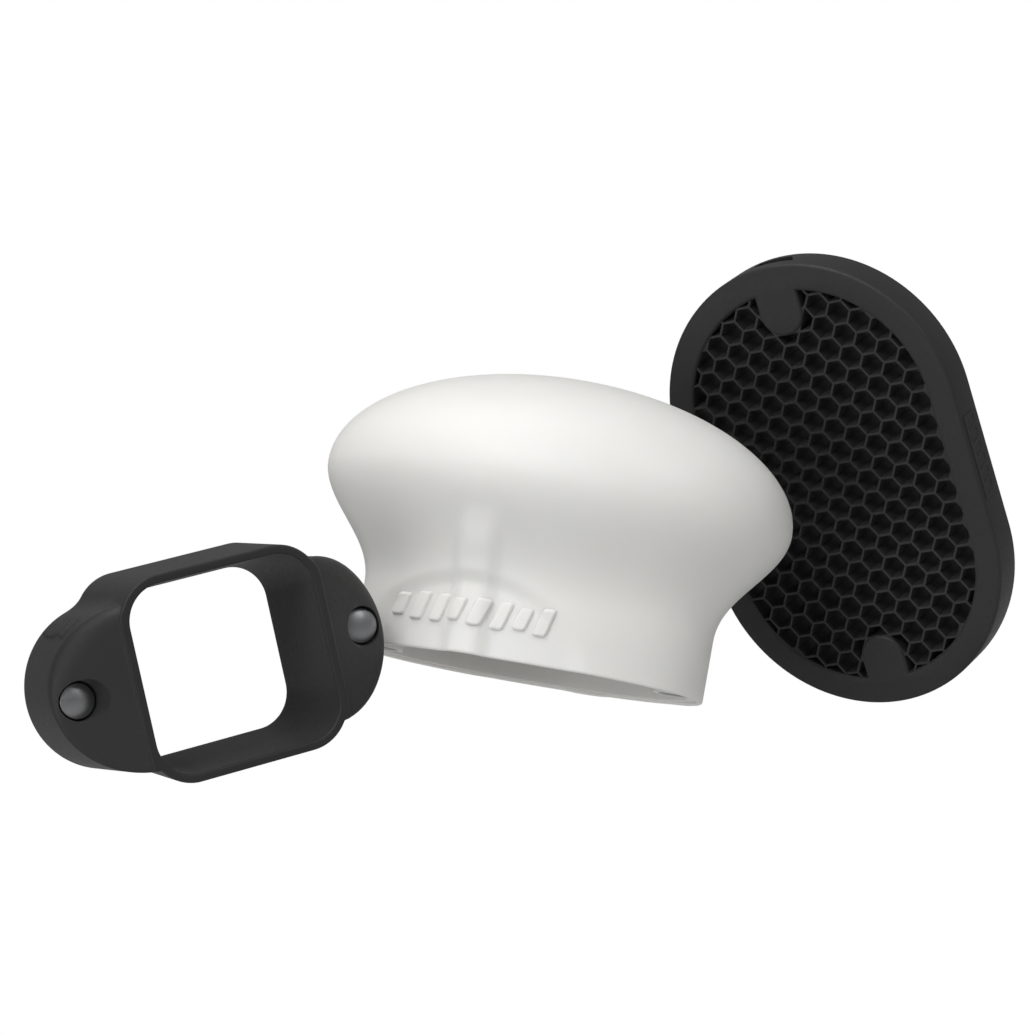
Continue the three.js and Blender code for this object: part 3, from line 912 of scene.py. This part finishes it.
def make_grid(black, plastic, metal):
    place = grid_frame(GRID_MAGNET_MIDDLE)
    upright = place @ Matrix.Rotation(math.pi / 2, 4, "X")
    outlines = [stadium(GRID_HALF_WIDTH, GRID_HALF_LENGTH), window(GRID_RIM, 0)]
    rim = plate("grid_frame", outlines, -GRID_THICKNESS, 0, RIM_BEVEL, upright)
    cut_slot(rim, place)
    shade_smooth(rim, limit=30)
    outlines = [window(GRID_RIM - CORE_HIDDEN, -CORE_HIDDEN)] + cells()
    back = CORE_RECESS - GRID_THICKNESS
    core = plate("grid_honeycomb", outlines, back, -CORE_RECESS, CORE_BEVEL, upright, steps=2)
    draft_cells(core, upright)
    badge = relief(
        "grid_relief", side_wall, GRID_RELIEF_HALF, GRID_BARS, GRID_RELIEF_RISE, GRID_RELIEF_STEP, place
    )
    paint(badge, black)
    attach(badge, "grid")
    for piece, node in ((rim, "grid_rim"), (core, "grid_core")):
        paint(piece, black)
        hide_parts(node)
        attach(piece, "grid")
    for word in ("upper", "lower"):
        paint(frame["nodes"][f"grid_magnet_{word}"], metal)
        paint(frame["nodes"][f"grid_plug_{word}"], plastic)


# ---------------------------------------------------------------- stage

LAMPS = (                      # name, place, diameter and power
    ("key", (-0.5, -0.55, 0.9), 0.6, 6.8),
    ("top", (0.0, 0.0, 1.1), 0.8, 4.6),
    ("left", (-1.1, -0.4, 0.1), 0.6, 2.8),
    ("right", (0.55, -0.9, 0.6), 0.4, 2.4),
)
LAMP_AIM = (0.07, -0.03, 0.0)
WORLD_STRENGTH = 0.2
FLOOR_RADIUS = 4.0
FLOOR_GREY = 0.6


def area_light(name, place, size, power):
    lamp = bpy.data.lights.new(name, "AREA")
    lamp.shape = "DISK"
    lamp.size = size
    lamp.energy = power
    holder = bpy.data.objects.new(name, lamp)
    holder.location = place
    holder.rotation_euler = (Vector(LAMP_AIM) - Vector(place)).to_track_quat("-Z", "Y").to_euler()
    bpy.context.scene.collection.objects.link(holder)


def camera_only(nodes, links, others, seen, output):
    """Shows one shader to the camera and another to every other ray."""
    ray = nodes.new("ShaderNodeLightPath")
    mix = nodes.new("ShaderNodeMixShader")
    links.new(ray.outputs["Is Camera Ray"], mix.inputs["Fac"])
    links.new(others, mix.inputs[1])
    links.new(seen, mix.inputs[2])
    links.new(mix.outputs["Shader"], output)


def make_world():
    world = bpy.data.worlds.new("studio")
    bpy.context.scene.world = world
    world.use_nodes = True
    nodes, links = world.node_tree.nodes, world.node_tree.links
    light = nodes["Background"]
    light.inputs["Color"].default_value = (1, 1, 1, 1)
    light.inputs["Strength"].default_value = WORLD_STRENGTH
    white = nodes.new("ShaderNodeBackground")
    white.inputs["Color"].default_value = (1, 1, 1, 1)
    output = nodes["World Output"].inputs["Surface"]
    camera_only(nodes, links, light.outputs["Background"], white.outputs["Background"], output)


def make_floor():
    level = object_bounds()[0][2] - FLOOR_DROP * MM
    bpy.ops.mesh.primitive_circle_add(
        vertices=128, radius=FLOOR_RADIUS, fill_type="NGON", location=(LAMP_AIM[0], 0, level)
    )
    floor = bpy.context.object
    floor.name = "floor"
    material, nodes, links, bsdf = shader("floor")
    bsdf.inputs["Base Color"].default_value = (FLOOR_GREY, FLOOR_GREY, FLOOR_GREY, 1)
    bsdf.inputs["Roughness"].default_value = 0.9
    white = nodes.new("ShaderNodeEmission")
    white.inputs["Color"].default_value = (1, 1, 1, 1)
    output = nodes["Material Output"].inputs["Surface"]
    camera_only(nodes, links, bsdf.outputs["BSDF"], white.outputs["Emission"], output)
    floor.data.materials.append(material)


def make_camera():
    camera = bpy.data.cameras.new("camera")
    camera.lens = CAMERA_LENS
    camera.sensor_width = SENSOR
    camera.clip_start, camera.clip_end = CAMERA_CLIP
    holder = bpy.data.objects.new("camera", camera)
    look = (Vector(CAMERA_AIM) - Vector(CAMERA_PLACE)).to_track_quat("-Z", "Y").to_matrix().to_4x4()
    holder.matrix_world = (
        Matrix.Translation(CAMERA_PLACE) @ look @ Matrix.Rotation(math.radians(-CAMERA_ROLL), 4, "Z")
    )
    bpy.context.scene.collection.objects.link(holder)
    bpy.context.scene.camera = holder
    bpy.context.scene.view_settings.view_transform = "Standard"


def main():
    black, white, plastic, metal = black_silicone(), white_silicone(), black_plastic(), nickel()
    make_camera()
    for lamp in LAMPS:
        area_light(*lamp)
    make_world()
    make_floor()
    make_grip(black, metal)
    make_dome(white, plastic, metal)
    make_grid(black, plastic, metal)


main()
